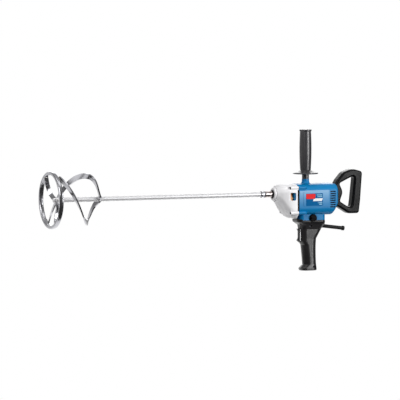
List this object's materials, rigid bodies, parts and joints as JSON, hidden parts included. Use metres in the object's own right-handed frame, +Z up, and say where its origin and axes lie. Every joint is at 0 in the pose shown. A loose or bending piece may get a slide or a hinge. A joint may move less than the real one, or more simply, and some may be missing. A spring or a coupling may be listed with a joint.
{
  "type": "mixing drill",
  "caption": "Hand-held electric mixing drill: cast gear housing, blue motor housing, pistol grip with trigger, side and D-handles, long rod with a helical ring paddle.",
  "frame": {"origin": "centre of the tommy-bar hole through the spindle, on the spindle axis", "axes": "+X along the spindle axis to the rear (from the paddle towards the D-handle), +Z up along the side handle, -Y the left side of the tool"},
  "size_m": [0.9497, 0.16, 0.3978],
  "materials": {
    "cast_aluminium": "fine blasted casting",
    "blue_plastic": "moulded, satin",
    "black_plastic": "moulded, fine grain",
    "black_rubber": "moulded rubber",
    "bright_steel": "bright zinc plated",
    "plain_steel": "machined",
    "black_steel": "black oxide",
    "bronze": "sintered",
    "copper": "enamelled wire",
    "laminations": "stacked sheet",
    "amber_nylon": "moulded nylon",
    "carbon": "pressed carbon",
    "white_nylon": "moulded nylon"
  },
  "bodies": {
    "housing": {"armature_front_bearing": "plain_steel", "armature_rear_bearing": "plain_steel", "brush_holders": "bronze", "carbon_brushes": "carbon", "cord_clamp": "black_plastic", "cord_guard": "black_rubber", "counter_front_bush": "bronze", "counter_rear_bush": "bronze", "d_handle_left": "black_plastic", "d_handle_right": "black_plastic", "d_handle_screws": "black_steel", "fan_baffle": "blue_plastic", "field_coils": "copper", "gear_housing": "cast_aluminium", "gear_plate": "cast_aluminium", "gear_plate_screws": "plain_steel", "grip_left": "black_plastic", "grip_right": "black_plastic", "grip_screws": "black_steel", "housing_screws": "black_steel", "motor_housing": "blue_plastic", "nose_seal": "black_rubber", "seam_gasket": "black_rubber", "side_handle_cap": "black_plastic", "side_handle_grip": "black_plastic", "side_handle_stud": "plain_steel", "spindle_front_bearing": "plain_steel", "spindle_rear_bush": "bronze", "stator_core": "laminations", "switch_module": "black_plastic"},
    "spindle_line": {"spindle": "bright_steel", "spindle_key": "plain_steel", "spindle_circlip": "plain_steel", "spindle_gear": "plain_steel", "rod_collar": "bright_steel", "mixing_rod": "bright_steel", "paddle_ring": "bright_steel", "ribbon_a": "bright_steel", "ribbon_b": "bright_steel", "spoke_a": "bright_steel", "spoke_b": "bright_steel"},
    "countershaft_line": {"countershaft": "plain_steel", "counter_gear": "plain_steel"},
    "armature_line": {"armature_shaft": "plain_steel", "armature_core": "laminations", "armature_windings": "copper", "commutator": "copper", "fan": "amber_nylon"},
    "trigger_lever": {"trigger": "black_plastic", "trigger_plunger": "white_nylon"},
    "reverser": {"reversing_knob": "black_plastic"}
  },
  "joints": [
    {"name": "spindle_spin", "type": "hinge", "parent": "housing", "child": "spindle_line", "pos_m": [0, 0, 0], "axis": [1, 0, 0], "continuous": true},
    {"name": "countershaft_spin", "type": "hinge", "parent": "housing", "child": "countershaft_line", "pos_m": [0.035, 0.0172, -0.01638], "axis": [1, 0, 0], "continuous": true},
    {"name": "armature_spin", "type": "hinge", "parent": "housing", "child": "armature_line", "pos_m": [0.115, 0, -0.0165], "axis": [1, 0, 0], "continuous": true},
    {"name": "trigger_pull", "type": "slide", "parent": "housing", "child": "trigger_lever", "axis": [1, 0, 0], "range_m": [0, 0.006], "stiffness_N_per_m": 600},
    {"name": "reverser_turn", "type": "hinge", "parent": "housing", "child": "reverser", "pos_m": [0.1215, 0, -0.068], "axis": [0, 1, 0], "range_deg": [-45, 45]}
  ],
  "couplings": [
    {"joint": "countershaft_spin", "follows": "spindle_spin", "ratio": -3.75},
    {"joint": "armature_spin", "follows": "spindle_spin", "ratio": 19.286}
  ]
}
